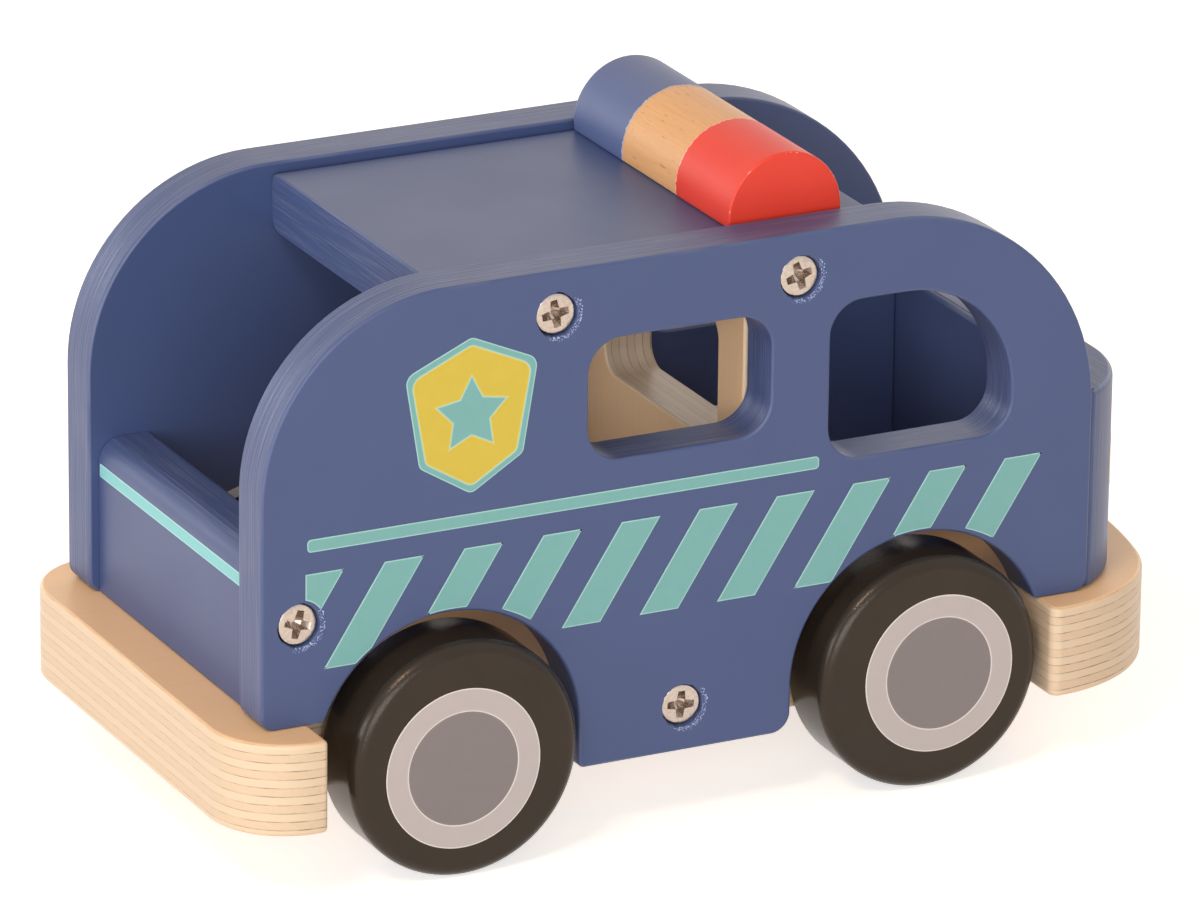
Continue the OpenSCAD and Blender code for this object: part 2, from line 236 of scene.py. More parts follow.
beechLook = dict(
    colour="#E7B682", dark="#D09A63", fleck="#8A5A33", rough=0.42, vein=(9, 0.6, 0.6),
    fleckSize=(3.2, 0.26, 0.26), flecks={"From Min": 0.70, "From Max": 0.76, "To Max": 0.8},
    bump=0.25, relief=0.05)


def lacqueredBeech(look):
    # Beech dowel under clear lacquer: warm tan with the short dark flecks that tell beech from other woods
    finish, add, shader, grain = startFinish("lacquered beech", {"Roughness": look["rough"], "IOR": 1.5},
                                             "grain")
    veins = streaks(add, grain, look["vein"], 4.0)
    specks = streaks(add, grain, look["fleckSize"], 1.0)
    flecks = add("MapRange", {"Value": specks, **look["flecks"]})
    coats = (veins, look["dark"]), (flecks, look["fleck"])
    endFinish(add, shader, look, look["colour"], coats, specks)
    return finish


lacquerLook = dict(rough=0.46, sag=7, chip=0.7, ragged=1.6, wear={"From Min": 1.45, "From Max": 1.6},
                   bump=0.2, relief=0.05)


def dippedLacquer(name, colour, deeper, worn, look=lacquerLook):
    # Satin lacquer brushed on a turned dowel: smooth colour, faint sags, paler where the corners are rubbed
    finish, add, shader, grain, arris = startFinish(name, {"Roughness": look["rough"], "IOR": 1.5},
                                                    "grain", "arris")
    sags = add("TexNoise", {"Vector": grain, "Scale": 1 / look["sag"], "Detail": 2.0})
    chips = add("TexNoise", {"Vector": grain, "Scale": 1 / look["chip"], "Detail": 3.0})
    rubbed = add("Math", {0: chips, 1: look["ragged"], 2: arris}, operation="MULTIPLY_ADD")
    wear = add("MapRange", {"Value": rubbed, **look["wear"]})
    endFinish(add, shader, look, colour, ((sags, deeper), (wear, worn)), sags)
    return finish


blackLook = dict(colour="#28221D", dusty="#332C26", glint="#FFF4EA", sheen={"To Min": 0.11, "To Max": 0.31},
                 speckle=0.3,  # coarser than real spray, so that it shows
                 patch=9, bump=0.7, relief=0.05)


def satinBlackPaint(look):
    # Satin black sprayed on a turned wheel: warm black with a fine dry speckle that breaks up its highlights
    finish, add, shader = startFinish("satin black paint on turned wood",
                                      {"IOR": 1.36, "Specular Tint": linear(look["glint"])})
    place = add("TexCoord").outputs["Object"]
    speckle = add("TexNoise", {"Vector": place, "Scale": 1 / (look["speckle"] * mm), "Detail": 2.0})
    patches = add("TexNoise", {"Vector": place, "Scale": 1 / (look["patch"] * mm), "Detail": 3.0})
    endFinish(add, shader, look, look["colour"], [(patches, look["dusty"])], speckle, speckle)
    return finish


inkLook = dict(cover=2.5, piledRimHighlight=0.9, bump=0.15, relief=0.03,
               mesh=0.4)  # the weave of the screen, coarser than a real one, so that it shows


def screenInk(name, colour, thin, rimHighlightColour, rough, look=inkLook):
    # Screen-printed ink film: flat colour, a little thin in places; the ink piles up at its rim, which is
    # painted paler as a highlight along the print's edge
    finish, add, shader, grain, arris = startFinish(name, {"Roughness": rough, "IOR": 1.48},
                                                    "grain", "arris")
    cover = add("TexNoise", {"Vector": grain, "Scale": 1 / look["cover"], "Detail": 4.0})
    mesh = add("TexNoise", {"Vector": grain, "Scale": 1 / look["mesh"], "Detail": 1.0})
    # the rim of each print is painted paler: a painted highlight along the print's edge
    piledRimHighlight = add("Math", {0: arris, 1: look["piledRimHighlight"]}, operation="MULTIPLY")
    endFinish(add, shader, look, colour, ((cover, thin), (piledRimHighlight, rimHighlightColour)), mesh)
    return finish


nickelLook = dict(colour="#D0C4BC", dull="#A99E95", sheen={"To Min": 0.14, "To Max": 0.38}, scuff=0.6,
                  bump=0.2, relief=0.03)


def nickelPlate(look):
    # Bright nickel on pressed steel: warm grey mirror, a little dull and scuffed from the screwdriver
    finish, add, shader = startFinish("nickel plated steel", {"Metallic": 1.0})
    place = add("TexCoord").outputs["Object"]
    scuffs = add("TexNoise", {"Vector": place, "Scale": 1 / (look["scuff"] * mm), "Detail": 4.0})
    endFinish(add, shader, look, look["colour"], [(scuffs, look["dull"])], scuffs, scuffs)
    return finish


bluePaint = satinBluePaint(bluePaintLook)
barePly = clearBirchPly(barePlyLook)
beech = lacqueredBeech(beechLook)
redLacquer = dippedLacquer("red lacquer on beech", "#E5422F", "#DD3827", "#F3B3A2")
blueLacquer = dippedLacquer("blue lacquer on beech", "#566696", "#50608F", "#B9B2BE")
blackPaint = satinBlackPaint(blackLook)
# each ink's last colour is its rim, painted paler as a highlight along the print's edge
tealInk = screenInk("teal screen ink", "#76B1B3", "#70ABAD", "#B0E0E0", 0.45)
paleTealInk = screenInk("pale teal screen ink", "#82CDD6", "#7DC7D0", "#BEEEF4", 0.45)
yellowInk = screenInk("yellow screen ink", "#CFBC48", "#C9B542", "#DBCB70", 0.45)
lampInk = screenInk("pale yellow screen ink", "#E6DF9E", "#E0D892", "#F0EBBE", 0.45)
ringInk = screenInk("pale grey screen ink", "#BAB5B8", "#B5B0B3", "#F2EEEE", 0.42)
hubInk = screenInk("mid grey screen ink", "#807A7D", "#7C7679", "#8C8689", 0.42)
# crumbs of chipped paint, coloured near white so that they also stand for painted glints beside the screw
# heads
chipsWithPaintedGlints = screenInk("chipped blue paint with painted glints", "#6F8BDC", "#D5E0FC", "#E4ECFF", 0.28)
nickel = nickelPlate(nickelLook)
print("finishes made:", len(bpy.data.materials))


# Outlines: rings of points and of normals that point out of the material

closeBy = 1e-3  # points nearer than this, in millimetres, are taken as one


def arcRun(u, v, radius, start, end, fewest=6, step=4):
    # a rising angle is an outside corner, a falling one an inside corner
    side = 1 if end > start else -1
    count = max(fewest, math.ceil(abs(end - start) / step))
    made = []
    for i in range(count + 1):
        angle = math.radians(start + (end - start) * i / count)
        spoke = Vector((math.cos(angle), math.sin(angle)))
        made.append((Vector((u, v)) + spoke * radius, spoke * side))
    return made


def ringOf(arcs):  # joins arcs by straight lines, leaving out points that meet
    made = []
    for arc in arcs:
        for point, normal in arcRun(*arc):
            if not made or (point - made[-1][0]).length > closeBy:
                made.append((point, normal))
    if (made[0][0] - made[-1][0]).length < closeBy:
        made.pop()
    return made


def plate(uLow, vLow, uHigh, vHigh, *corners):  # one radius for all corners, or four from the lower left
    lowerLeft, lowerRight, upperRight, upperLeft = corners * (4 // len(corners))
    return ringOf([(uLow + lowerLeft, vLow + lowerLeft, lowerLeft, 180, 270),
                   (uHigh - lowerRight, vLow + lowerRight, lowerRight, 270, 360),
                   (uHigh - upperRight, vHigh - upperRight, upperRight, 0, 90),
                   (uLow + upperLeft, vHigh - upperLeft, upperLeft, 90, 180)])


def hole(ring):
    return [(point, -normal) for point, normal in reversed(ring)]


def mirrored(arcs):  # the other half of an outline that is the same either side of v = 0
    return [(u, -v, radius, -end, -start) for u, v, radius, start, end in reversed(arcs)]


def filleted(corners):  # arcs for a polygon's corners, each (u, v, radius), anticlockwise
    made = []
    for i, (u, v, radius) in enumerate(corners):
        here = Vector((u, v))
        into = (here - Vector(corners[i - 1][:2])).normalized()
        out = (Vector(corners[(i + 1) % len(corners)][:2]) - here).normalized()
        turn = math.degrees(math.atan2(into.x * out.y - into.y * out.x, into.dot(out)))
        side = 1 if turn > 0 else -1
        reach = radius * math.tan(math.radians(abs(turn) / 2))
        centre = here - into * reach + Vector((-into.y, into.x)) * radius * side
        start = math.degrees(math.atan2(into.y, into.x)) - 90 * side
        made.append((centre.x, centre.y, radius, start, start + turn))
    return made


def polygonRing(points, sharpest=0.4):  # normals from the neighbours, for thin films with any outline
    made = []
    for i, point in enumerate(points):
        into = (point - points[i - 1]).normalized()
        out = (points[(i + 1) % len(points)] - point).normalized()
        first, second = Vector((into.y, -into.x)), Vector((out.y, -out.x))
        middle = (first + second).normalized()
        made.append((point, middle / max(sharpest, middle.dot(first))))
    return made


def spokes(count):  # directions all round a circle
    return [(math.cos(2 * math.pi * i / count), math.sin(2 * math.pi * i / count)) for i in range(count)]


# Meshes: rings swept through stations, each (depth, inset, tilt of the surface from facing out of the front)

def startMesh():
    bm = bmesh.new()
    for name in ("facing", "grain"):
        bm.verts.layers.float_vector.new(name)
    for name in ("rim", "butt", "arris"):
        bm.verts.layers.float.new(name)
    bm.faces.layers.int.new("flat")
    return bm


def roundedEdges(depth, arris, steps=4):
    front = []
    for i in range(steps + 1):
        tilt = 90 * i / steps
        angle = math.radians(tilt)
        front.append((arris * (1 - math.cos(angle)), arris * (1 - math.sin(angle)), tilt))
    return front + [(depth - w, inset, 180 - tilt) for w, inset, tilt in reversed(front)]


def addPoint(bm, spot, facing, grain, arris):
    along, across, through, face = grain
    layers = bm.verts.layers
    vert = bm.verts.new(spot)
    facing = facing.normalized()
    vert[layers.float_vector["facing"]] = facing
    vert[layers.float_vector["grain"]] = Vector((spot[along], spot[across], abs(spot[through] - face)))
    vert[layers.float["rim"]] = 1 - facing[through] ** 2
    vert[layers.float["butt"]] = facing[along] ** 2
    vert[layers.float["arris"]] = arris
    return vert


def dressFace(bm, face, flat, material):
    face[bm.faces.layers.int["flat"]] = flat
    face.material_index = material


def strips(rows):  # corners of the faces between rows, where a row of one point is a pole
    for near, far in zip(rows, rows[1:]):
        for i in range(max(len(near), len(far))):
            start = [near[i - 1], near[i]] if len(near) > 1 else [near[0]]
            end = [far[i], far[i - 1]] if len(far) > 1 else [far[0]]
            yield start + end


def addStrips(bm, rows, flat=0, material=0):
    for corners in strips(rows):
        dressFace(bm, bm.faces.new(corners), flat, material)


def ringEdges(bm, row):
    return [bm.edges.get((row[i - 1], row[i])) for i in range(len(row))]


def fillEdges(bm, edges, material):
    made = bmesh.ops.triangle_fill(bm, use_beauty=True, use_dissolve=False, edges=edges)
    for face in made["geom"]:
        if isinstance(face, bmesh.types.BMFace):
            dressFace(bm, face, 1, material)


def addCap(bm, rows, material=0):
    fillEdges(bm, [edge for row in rows for edge in ringEdges(bm, row)], material)


def sweepRing(bm, ring, stations, place, grain, material=0):
    rows = []
    origin = place(0, 0, 0)
    for w, inset, tilt in stations:
        out, up = math.sin(math.radians(tilt)), -math.cos(math.radians(tilt))
        arris = abs(math.sin(math.radians(2 * tilt)))
        row = []
        for point, normal in ring:
            spot = point - normal * inset
            facing = place(normal.x * out, normal.y * out, up) - origin
            row.append(addPoint(bm, place(spot.x, spot.y, w), facing, grain, arris))
        rows.append(row)
    addStrips(bm, rows, 0, material)
    return rows


def addBoard(bm, rings, stations, place, grain, pockets=()):
    swept = [sweepRing(bm, ring, stations, place, grain) for ring in rings]
    sunk = []
    for ring, pocketStations in pockets:
        rows = sweepRing(bm, ring, pocketStations, place, grain)
        addCap(bm, [rows[-1]])
        sunk.append(rows[0])
    addCap(bm, [rows[0] for rows in swept] + sunk)
    addCap(bm, [rows[-1] for rows in swept])


def addTurned(bm, profile, place, grain, segments=96):
    # profile: runs of (radius, depth, radial normal, depth normal), each run flat or smooth
    rows = []
    flats = []
    for run, flat in profile:
        if rows:  # a run starts at the last one's end
            flats[-1] = flat
            run = run[1:]
        for radius, w, outward, upward in run:
            row = []
            for c, s in spokes(segments if radius > 0 else 1):
                facing = place(c * outward, s * outward, upward) - place(0, 0, 0)
                row.append(addPoint(bm, place(c * radius, s * radius, w), facing, grain, 0))
            rows.append(row)
            flats.append(flat)
    for k, flat in enumerate(flats[:-1]):
        addStrips(bm, rows[k:k + 2], flat)
    return rows


def claim(piece, body, node=None):
    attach(piece, body)
    if node:
        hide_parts(node)


def meshFrom(bm, name):
    bmesh.ops.recalc_face_normals(bm, faces=bm.faces)
    bmesh.ops.scale(bm, vec=(mm, mm, mm), verts=bm.verts)
    mesh = bpy.data.meshes.new(name)
    bm.to_mesh(mesh)
    bm.free()
    return mesh


def finishPiece(bm, name, finishes, body, node=None):
    mesh = meshFrom(bm, name)
    facing = [Vector(item.vector) for item in mesh.attributes["facing"].data]
    flat = [item.value for item in mesh.attributes["flat"].data]
    normals = [None] * len(mesh.loops)
    for poly in mesh.polygons:
        poly.use_smooth = True
        for loop in poly.loop_indices:
            normals[loop] = poly.normal if flat[poly.index] else facing[mesh.loops[loop].vertex_index]
    mesh.normals_split_custom_set(normals)
    for spent in ("facing", "flat"):
        mesh.attributes.remove(mesh.attributes[spent])
    for finish in finishes:
        mesh.materials.append(finish)
    claim(intoScene(name, mesh), body, node)


def paintedBoard(node, rings, depth, arris, place, grain, pockets=()):
    bm = startMesh()
    addBoard(bm, rings, roundedEdges(depth, arris), place, grain, pockets)
    finishPiece(bm, "painted_" + node, [bluePaint], "body", node)


# Screw places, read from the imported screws

screwLook = dict(head=7.0, edge=0.3, bevel=0.3, rim=0.4, shank=3.5, core=0.35, pitch=1.6, ridge=0.35,
                 steep=2.5, rows=6, point=4.0, around=32, recess=2.4, slot=0.6, throat=0.8, sharp=28,
                 cross=((1.0, 0.0), (0.94, 0.2), (0.62, 1.65), (0.25, 2.2)),  # share of its size, and depth
                 lean=3.0, sideLength=25.0, floorSpin=20,
                 spins={"roof_screws": (-10, -17), "tailgate_screws": (15,), "chassis_screws": (3,)})
headRadius = screwLook["head"] / 2


def sidePlaces(node):  # x and z of the screws that come through a side panel
    low, high = boxOf(node)
    xs = [low.x + headRadius, high.x - headRadius]
    if xs[1] - xs[0] < 1:
        xs = xs[:1]
    return [(x, (low.z + high.z) / 2) for x in xs]


def floorPlaces(node):  # x and y of the screws that come up from below
    low, high = boxOf(node)
    return [((low.x + high.x) / 2, y) for y in (low.y + headRadius, high.y - headRadius)]


sideScrews = {node: sidePlaces(node) for node in ("roof_screws", "tailgate_screws", "chassis_screws")}
floorScrews = {node: floorPlaces(node)
               for node in ("partition_screws", "front_board_screws", "light_bar_screws")}

pocketLook = dict(radius=3.66, ragged=0.22, points=48, lean=(0.04, -0.05), sideSeed=11, floorSeed=41,
                  wall=[(0, 0.18, 0), (0.07, 0.05, 45), (0.25, 0, 90), (1.0, -0.2, 90), (2.9, -0.3, 90)])


def screwPockets(places, seed, look=pocketLook):  # ragged holes that the screw heads sit in
    made = []
    for k, place in enumerate(places):
        draw = random.Random(seed + k)
        bites = [draw.uniform(0, 1) ** 2 * look["ragged"] for i in range(look["points"])]
        centre = Vector(place) + Vector(look["lean"])
        ring = []
        for bite, (c, s) in zip(bites, spokes(look["points"])):
            spoke = Vector((c, -s))
            ring.append((centre + spoke * (look["radius"] + bite), -spoke))
        made.append((ring, look["wall"]))
    return made


# Side panels

panelLook = dict(arris=0.55, archGap=3.2, archBack=0.4, archFoot=1.2, rearTop=33.0, frontTop=38.0, foot=2.5,
                 skirtRear=1.3, skirtFront=3.5, window=6.0, windscreen=20.0,
                 rearWindow=(-24.9, 66.1, 8.5, 87.0), frontWindow=(19.4, 59.4, 53.6, 87.0))


def axleAt(wheel):
    low, high = boxOf(wheel)
    return (low.x + high.x) / 2, (low.z + high.z) / 2, (high.x - low.x) / 2


rearX, axleZ, tyreRadius = axleAt("rear_right_wheel")
frontX = axleAt("front_right_wheel")[0]
rearArchX = rearX - panelLook["archBack"]
frontArchX = frontX - panelLook["archBack"]
archRadius = tyreRadius + panelLook["archGap"]


def panelArcs(look):
    fillet, foot = look["archFoot"], look["foot"]
    skirtRear, skirtFront = look["skirtRear"], look["skirtFront"]
    rearTop, frontTop = look["rearTop"], look["frontTop"]
    footZ = floorZ + fillet
    reach = math.sqrt((archRadius + fillet) ** 2 - (footZ - axleZ) ** 2)
    lift = math.degrees(math.atan2(footZ - axleZ, reach))
    rear, front, top = panelLow.x, panelHigh.x, panelHigh.z
    return [(rear + foot, floorZ + foot, foot, 180, 270),
            (rearArchX - reach, footZ, fillet, -90, -lift),
            (rearArchX, axleZ, archRadius, 180 - lift, 0),
            (rearArchX + archRadius + skirtRear, panelLow.z + skirtRear, skirtRear, 180, 270),
            (frontArchX - archRadius - skirtFront, panelLow.z + skirtFront, skirtFront, 270, 360),
            (frontArchX, axleZ, archRadius, 180, lift),
            (frontArchX + reach, footZ, fillet, 180 + lift, 270),
            (front - foot, floorZ + foot, foot, 270, 360),
            (front - frontTop, top - frontTop, frontTop, 0, 90),
            (rear + rearTop, top - rearTop, rearTop, 90, 180)]


def addSidePanel(side, node, look=panelLook):
    outer = side * panelOut
    corner = look["window"]
    rings = [ringOf(panelArcs(look)),
             hole(plate(*look["rearWindow"], corner)),
             hole(plate(*look["frontWindow"], corner, corner, look["windscreen"], corner))]
    places = [spot for group in sideScrews.values() for spot in group]
    paintedBoard(node, rings, panelHigh.y - panelLow.y, look["arris"],
                 lambda u, v, w: Vector((u, outer - side * w, v)), (0, 2, 1, outer),
                 screwPockets(places, pocketLook["sideSeed"]))


addSidePanel(-1, "right_side_panel")
addSidePanel(1, "left_side_panel")
print("side panels made")


# Roof, tailgate, partition and front board

roofLook = dict(arris=0.4, topEdge=2.0, underEdge=3.0)


def addRoof(look):
    under, top = look["underEdge"], look["topEdge"]
    ring = plate(roofLow.y, roofLow.z, roofHigh.y, roofHigh.z, under, under, top, top)
    paintedBoard("roof_board", [ring], roofHigh.x - roofLow.x, look["arris"],
                 lambda u, v, w: Vector((roofLow.x + w, u, v)), (0, 1, 2, roofHigh.z))


gateLook = dict(arris=0.4, rearTop=4.0, frontTop=1.5, foot=0.6)


def addTailgate(look):
    foot = look["foot"]
    ring = plate(gateLow.x, gateLow.z, gateHigh.x, gateHigh.z, foot, foot, look["frontTop"], look["rearTop"])
    paintedBoard("tailgate", [ring], gateHigh.y - gateLow.y, look["arris"],
                 lambda u, v, w: Vector((u, gateLow.y + w, v)), (1, 2, 0, gateLow.x))


wallLook = dict(arris=0.5, corner=0.7, hatch=(-20.6, 57.9, 20.6, 80.3), hatchCorner=4.0)


def addPartition(look):
    rings = [plate(wallLow.y, wallLow.z, wallHigh.y, wallHigh.z, look["corner"]),
             hole(plate(*look["hatch"], look["hatchCorner"]))]
    bm = startMesh()
    addBoard(bm, rings, roundedEdges(wallHigh.x - wallLow.x, look["arris"]),
             lambda u, v, w: Vector((wallLow.x + w, u, v)), (2, 1, 0, wallLow.x))
    finishPiece(bm, "bare_partition", [barePly], "body", "partition")


noseLook = dict(arris=1.0, radius=24.0, corner=0.8)


def noseEnd(look):  # centre of the nose's rounded right end
    centreX = noseHigh.x - look["radius"]
    spread = math.sqrt(look["radius"] ** 2 - (noseLow.x - centreX) ** 2)
    return centreX, noseLow.y + spread


def addFrontBoard(look):
    radius, corner = look["radius"], look["corner"]
    centreX, centreY = noseEnd(look)
    inX = noseLow.x + corner - centreX
    inY = math.sqrt((radius - corner) ** 2 - inX ** 2)
    meet = math.degrees(math.atan2(inY, inX))
    half = [(noseLow.x + corner, centreY - inY, corner, 180, 360 - meet),
            (centreX, centreY, radius, -meet, 0)]
    paintedBoard("front_board", [ringOf(half + mirrored(half))], noseHigh.z - noseLow.z, look["arris"],
                 lambda u, v, w: Vector((u, v, noseLow.z + w)), (1, 2, 0, noseLow.x))


addRoof(roofLook)
addTailgate(gateLook)
addPartition(wallLook)
addFrontBoard(noseLook)
print("cross boards made")


# Base board, with its bumpers and axle bores

baseLook = dict(arris=0.8, rearWidth=92.8, rearCorner=13.5, rearInside=-74.7, rearTip=1.0, notch=1.0,
                frontWidth=89.2, frontCorner=26.0, frontInside=59.8, frontTip=1.8, bow=100.0, bore=3.05,
                boreSides=32)


def baseArcs(look):
    rearHalf, frontHalf = look["rearWidth"] / 2, look["frontWidth"] / 2
    rearCorner, frontCorner, notch = look["rearCorner"], look["frontCorner"], look["notch"]
    rearTip, frontTip = look["rearTip"], look["frontTip"]
    bowX = baseHigh.x - look["bow"]
    cornerY = frontHalf - frontCorner
    cornerX = bowX + math.sqrt((look["bow"] - frontCorner) ** 2 - cornerY ** 2)
    swing = math.degrees(math.atan2(cornerY, cornerX - bowX))
    half = [(baseLow.x + rearCorner, rearCorner - rearHalf, rearCorner, 180, 270),
            (look["rearInside"] - rearTip, rearTip - rearHalf, rearTip, 270, 360),
            (look["rearInside"] + notch, -cabinHalf - notch, notch, 180, 90),
            (look["frontInside"] - notch, -cabinHalf - notch, notch, 90, 0),
            (look["frontInside"] + frontTip, frontTip - frontHalf, frontTip, 180, 270),
            (cornerX, -cornerY, frontCorner, -90, -swing),
            (bowX, 0, look["bow"], -swing, 0)]
    return half + mirrored(half)


def sideWall(bm, side, x):  # the base board's largest upright face that an axle goes through
    found = []
    for face in bm.faces:
        xs = [vert.co.x for vert in face.verts]
        upright = abs(face.normal.y - side) < closeBy
        outermost = all(abs(vert.co.y - side * cabinHalf) < closeBy for vert in face.verts)
        if upright and outermost and min(xs) < x < max(xs):
            found.append(face)
    return max(found, key=lambda face: face.calc_area())


def boreThrough(bm, x, look):  # opens both sides of the base board for an axle and joins them by a tube
    circles = []
    for side in (-1, 1):
        wall = sideWall(bm, side, x)
        edges = list(wall.edges)
        bmesh.ops.delete(bm, geom=[wall], context="FACES_ONLY")
        circle = []
        for c, s in spokes(look["boreSides"]):
            spoke = Vector((c, 0, s))
            spot = Vector((x, side * cabinHalf, axleZ)) + spoke * look["bore"]
            circle.append(addPoint(bm, spot, -spoke, (0, 1, 2, baseLow.z), 0))
        edges += [bm.edges.new((circle[i - 1], circle[i])) for i in range(len(circle))]
        fillEdges(bm, edges, 0)
        circles.append(circle)
    addStrips(bm, circles)


def addBase(look):
    places = floorScrews["partition_screws"] + floorScrews["front_board_screws"]
    bm = startMesh()
    addBoard(bm, [ringOf(baseArcs(look))], roundedEdges(baseHigh.z - baseLow.z, look["arris"]),
             lambda u, v, w: Vector((u, v, baseLow.z + w)), (0, 1, 2, baseLow.z),
             screwPockets(places, pocketLook["floorSeed"]))
    bmesh.ops.recalc_face_normals(bm, faces=bm.faces)
    for x in (rearX, frontX):
        boreThrough(bm, x, look)
    finishPiece(bm, "bare_base_board", [barePly], "body", "base_board")


addBase(baseLook)
print("base board made")


# Light bar: one half-round dowel, blue, bare and red by thirds

barLook = dict(radius=10.4, corner=0.6, arris=0.4, leftArris=1.4, paint=0.05, edge=0.06, rub=0.9, border=0.2,
               endWear=0.55)


def addLightBar(look):
    corner, rub, edge, thin = look["corner"], look["rub"], look["edge"], look["paint"]
    long = barHigh.y - barLow.y
    middle = (barLow.x + barHigh.x) / 2
    centreZ = barHigh.z - look["radius"]
    drop = barLow.z + corner - centreZ
    inner = look["radius"] - corner
    side = math.sqrt(inner ** 2 - drop ** 2)
    swing = math.degrees(math.atan2(drop, side))
    ring = ringOf([(middle + side, barLow.z + corner, corner, -90, swing),
                   (middle, centreZ, look["radius"], swing, 180 - swing),
                   (middle - side, barLow.z + corner, corner, 180 - swing, 270)])
    rightEnd = roundedEdges(long, look["arris"])
    leftEnd = roundedEdges(long, look["leftArris"])
    half = len(rightEnd) // 2
    first, second = long / 3, 2 * long / 3
    borders = [(first - rub, 0, 90), (first - edge, 0, 90), (first, thin, 90),
               (second, thin, 90), (second + edge, 0, 90), (second + rub, 0, 90)]
    bm = startMesh()
    addBoard(bm, [ring], rightEnd[:half] + borders + leftEnd[half:],
             lambda u, v, w: Vector((u, barLow.y + w, v)), (1, 0, 2, barLow.z))
    for face in bm.faces:
        y = face.calc_center_median().y - barLow.y
        face.material_index = 0 if y < first else (1 if y < second else 2)
    wear = bm.verts.layers.float["arris"]
    for vert in bm.verts:  # ragged, rubbed paint where the colours meet, less at the ends
        y = vert.co.y - barLow.y
        atBorder = min(abs(y - first), abs(y - second)) < look["border"]
        vert[wear] = 1.0 if atBorder else vert[wear] * look["endWear"]
    finishes = [redLacquer, beech, blueLacquer]
    finishPiece(bm, "dipped_light_bar", finishes, "body", "light_bar")


addLightBar(barLook)
print("light bar made")


# Wheels and axles

filmLook = dict(thick=0.05, thinner=0.04, pile=0.28, shoulder=0.6, foot=0.4)


def addFilm(bm, rings, place, grain, material, thick=filmLook["thick"], look=filmLook):
    # A printed film: flat top, a piled-up rim, its foot just under the paint
    shoulder = thick * look["shoulder"]
    stations = [(-thick, look["pile"], 0), (-thick, shoulder, 0), (-shoulder, 0, 90),
                (thick * look["foot"], 0, 90)]
    swept = [sweepRing(bm, ring, stations, place, grain, material) for ring in rings]
    for rows in swept:
        for k, row in enumerate(rows):
            for vert in row:
                vert[bm.verts.layers.float["arris"]] = 0.0 if k == 0 else 1.0
    addCap(bm, [rows[0] for rows in swept], material)
    addCap(bm, [rows[-1] for rows in swept], material)


wheelLook = dict(outerRound=2.4, innerRound=1.0, bore=3.0, seat=9.0, hub=9.85, ring=13.88, between=0.02,
                 printOff={"rear_right_wheel": (-0.8, -1.14), "front_right_wheel": (1.33, -0.03),
                           "rear_left_wheel": (0.5, -0.6), "front_left_wheel": (-0.4, 0.3)})


def roundRun(radius, w, size, start, end):
    return [(p.x, p.y, n.x, n.y) for p, n in arcRun(radius, w, size, start, end)]


def addWheel(node, side, body, look=wheelLook):
    low, high = boxOf(node)
    x, z, radius = axleAt(node)
    wide = high.y - low.y
    inner = low.y if side > 0 else high.y

    def place(u, v, w):
        return Vector((x + u, inner + side * w, z + v))

    def faceOn(u, v, w):  # the outer face, with depth going into the wheel
        return place(u, v, wide - w)

    bore, inRound, outRound = look["bore"], look["innerRound"], look["outerRound"]
    profile = [([(bore, look["seat"], -1, 0), (bore, 0, -1, 0)], 1),
               ([(bore, 0, 0, -1), (radius - inRound, 0, 0, -1)], 1),
               (roundRun(radius - inRound, inRound, inRound, -90, 0), 0),
               ([(radius, inRound, 1, 0), (radius, wide - outRound, 1, 0)], 0),
               (roundRun(radius - outRound, wide - outRound, outRound, 0, 90), 0),
               ([(radius - outRound, wide, 0, 1), (0, wide, 0, 1)], 1)]
    bm = startMesh()
    grain = (0, 2, 1, inner)
    rows = addTurned(bm, profile, place, grain)
    addCap(bm, [rows[0]])  # the seat at the end of the blind bore
    off = look["printOff"][node]  # the prints sit a little off the wheels' middles
    ring, hub, disc = [ringOf([(*off, reach, 0, 360)])
                       for reach in (look["ring"], look["hub"], look["hub"] - look["between"])]
    addFilm(bm, [ring, hole(hub)], faceOn, grain, 1)
    addFilm(bm, [disc], faceOn, grain, 2)
    finishPiece(bm, "turned_" + node, [blackPaint, ringInk, hubInk], body, node)


axleLook = dict(chamfer=0.5, segments=48)


def addAxle(node, body, look=axleLook):
    low, high = boxOf(node)
    x, z, radius = axleAt(node)
    long, chamfer = high.y - low.y, look["chamfer"]
    face = radius - chamfer
    profile = [([(0, 0, 0, -1), (face, 0, 0, -1)], 1),
               ([(face, 0, 0, -1), (radius, chamfer, 1, 0)], 1),
               ([(radius, chamfer, 1, 0), (radius, long - chamfer, 1, 0)], 0),
               ([(radius, long - chamfer, 1, 0), (face, long, 0, 1)], 1),
               ([(face, long, 0, 1), (0, long, 0, 1)], 1)]
    bm = startMesh()
    addTurned(bm, profile, lambda u, v, w: Vector((x + u, low.y + w, z + v)), (1, 0, 2, z), look["segments"])
    finishPiece(bm, "dowel_" + node, [beech], body, node)


for end in ("front", "rear"):
    addAxle(end + "_axle", end + "_wheels")
    addWheel(end + "_right_wheel", -1, end + "_wheels")
    addWheel(end + "_left_wheel", 1, end + "_wheels")
print("wheels and axles made")


# Prints on the sides, the tailgate and the nose

stripeLook = dict(top=54.9, bottom=38.1, wide=7.02, lean=10.82, pitch=14.26, first=-75.67, count=10,
                  rearEdge=-75.5, archMargin=0.6, archLean=0.9, screwMargin=4.35, step=0.2, arcSteps=12)


